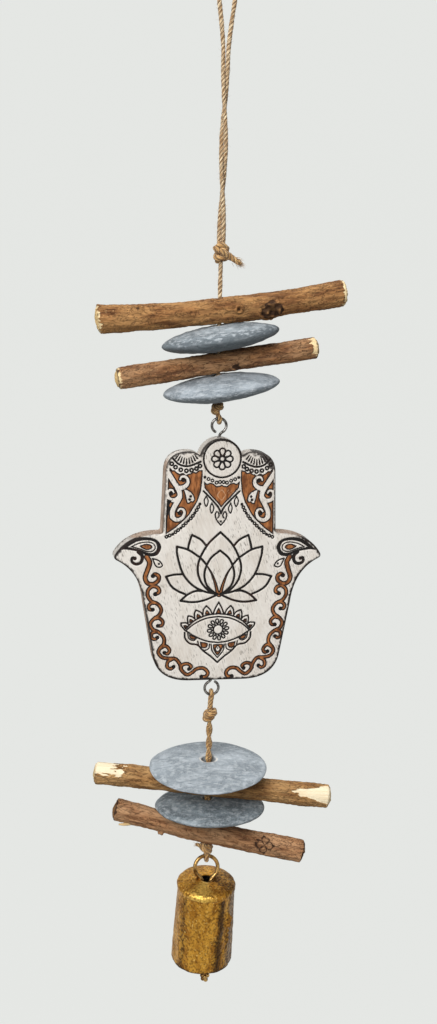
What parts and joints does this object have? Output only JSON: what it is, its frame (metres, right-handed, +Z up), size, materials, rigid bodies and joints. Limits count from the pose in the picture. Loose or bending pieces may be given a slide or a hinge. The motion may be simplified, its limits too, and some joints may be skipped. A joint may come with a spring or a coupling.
{
  "type": "hanging hand mobile",
  "caption": "Hanging mobile: a carved and painted wooden hand on jute cord between stacks of bark sticks and drilled pebbles, with a small metal bell below.",
  "frame": {"origin": "the inside top of the hanging loop, where a hook carries the mobile", "axes": "+X to the viewer's right across the hand, +Y from its carved face to its back, +Z up along the cord"},
  "size_m": [0.1229, 0.0526, 0.5221],
  "materials": {
    "jute": "rough twisted fibre",
    "bark": "bark, with peeled and sawn ends",
    "pebble": "matt, water-worn, veined",
    "painted_wood": "white paint, carved down to dark and stained wood, worn at the edges",
    "steel_wire": "bright wire",
    "antique_brass": "antique gold, darkened in hollows"
  },
  "bodies": {
    "upper_string": {"hanging_loop": "jute", "upper_knot": "jute", "upper_knot_tail": "jute", "upper_cord": "jute"},
    "first_stick": {"stick_1": "bark"},
    "first_pebble": {"pebble_1": "pebble"},
    "second_stick": {"stick_2": "bark"},
    "second_pebble": {"pebble_2": "pebble"},
    "swivel_knot": {"eye_knot": "jute"},
    "upper_link": {"upper_eye_loop": "jute"},
    "hand": {"hand_board": "painted_wood", "upper_screw_eye": "steel_wire", "lower_screw_eye": "steel_wire"},
    "lower_link": {"lower_eye_loop": "jute"},
    "lower_string": {"lower_knot": "jute", "lower_cord": "jute", "bell_knot": "jute", "bell_knot_tail": "jute"},
    "third_pebble": {"pebble_3": "pebble"},
    "third_stick": {"stick_3": "bark"},
    "fourth_pebble": {"pebble_4": "pebble"},
    "fourth_stick": {"stick_4": "bark"},
    "bell_link": {"bell_loop": "jute"},
    "bell": {"bell_shell": "antique_brass", "bell_ring": "antique_brass"},
    "bell_clapper": {"clapper": "antique_brass"}
  },
  "joints": [
    {"name": "stick_1_spin", "type": "hinge", "parent": "upper_string", "child": "first_stick", "pos_m": [0, 0, -0.1666], "axis": [-0.1245, 0, 0.9922], "continuous": true},
    {"name": "pebble_1_spin", "type": "hinge", "parent": "upper_string", "child": "first_pebble", "pos_m": [0, 0, -0.17971], "axis": [-0.1754, -0.0172, 0.9844], "continuous": true},
    {"name": "stick_2_spin", "type": "hinge", "parent": "upper_string", "child": "second_stick", "pos_m": [0, 0, -0.19173], "axis": [-0.1668, -0.0344, 0.9854], "continuous": true},
    {"name": "pebble_2_spin", "type": "hinge", "parent": "upper_string", "child": "second_pebble", "pos_m": [0, 0, -0.20397], "axis": [-0.1452, -0.069, 0.987], "continuous": true},
    {"name": "hand_twist", "type": "hinge", "parent": "upper_string", "child": "swivel_knot", "pos_m": [0, 0, -0.21385], "axis": [0, 0, 1], "range_deg": [-180, 180]},
    {"name": "hand_swing", "type": "hinge", "parent": "swivel_knot", "child": "upper_link", "pos_m": [0, 0, -0.21385], "axis": [0, 1, 0], "range_deg": [-30, 30]},
    {"name": "hand_nod", "type": "hinge", "parent": "upper_link", "child": "hand", "pos_m": [0.0012, 0, -0.21895], "axis": [1, 0, 0], "range_deg": [-45, 45]},
    {"name": "lower_loop_nod", "type": "hinge", "parent": "hand", "child": "lower_link", "pos_m": [0.0006, 0, -0.36105], "axis": [1, 0, 0], "range_deg": [-50, 50]},
    {"name": "lower_string_swing", "type": "hinge", "parent": "lower_link", "child": "lower_string", "pos_m": [0, 0, -0.37185], "axis": [0, 1, 0], "range_deg": [-40, 40]},
    {"name": "pebble_3_spin", "type": "hinge", "parent": "lower_string", "child": "third_pebble", "pos_m": [0, 0, -0.39869], "axis": [-0.0343, -0.144, 0.989], "continuous": true},
    {"name": "stick_3_spin", "type": "hinge", "parent": "lower_string", "child": "third_stick", "pos_m": [0, 0, -0.40956], "axis": [0.0648, -0.1347, 0.9888], "continuous": true},
    {"name": "pebble_4_spin", "type": "hinge", "parent": "lower_string", "child": "fourth_pebble", "pos_m": [0, 0, -0.42166], "axis": [-0.022, -0.0846, 0.9962], "continuous": true},
    {"name": "stick_4_spin", "type": "hinge", "parent": "lower_string", "child": "fourth_stick", "pos_m": [0, 0, -0.43586], "axis": [0.2009, -0.0873, 0.9757], "continuous": true},
    {"name": "bell_swing", "type": "hinge", "parent": "lower_string", "child": "bell_link", "pos_m": [0, 0, -0.44458], "axis": [0, 1, 0], "range_deg": [-30, 30]},
    {"name": "bell_nod", "type": "hinge", "parent": "bell_link", "child": "bell", "pos_m": [0, 0, -0.44918], "axis": [0.9999, 0.0016, -0.0103], "range_deg": [-40, 40]},
    {"name": "clapper_swing", "type": "hinge", "parent": "bell", "child": "bell_clapper", "pos_m": [-0.00021, -0.00194, -0.46957], "axis": [0.9999, 0.0016, -0.0103], "range_deg": [-9, 26]}
  ]
}
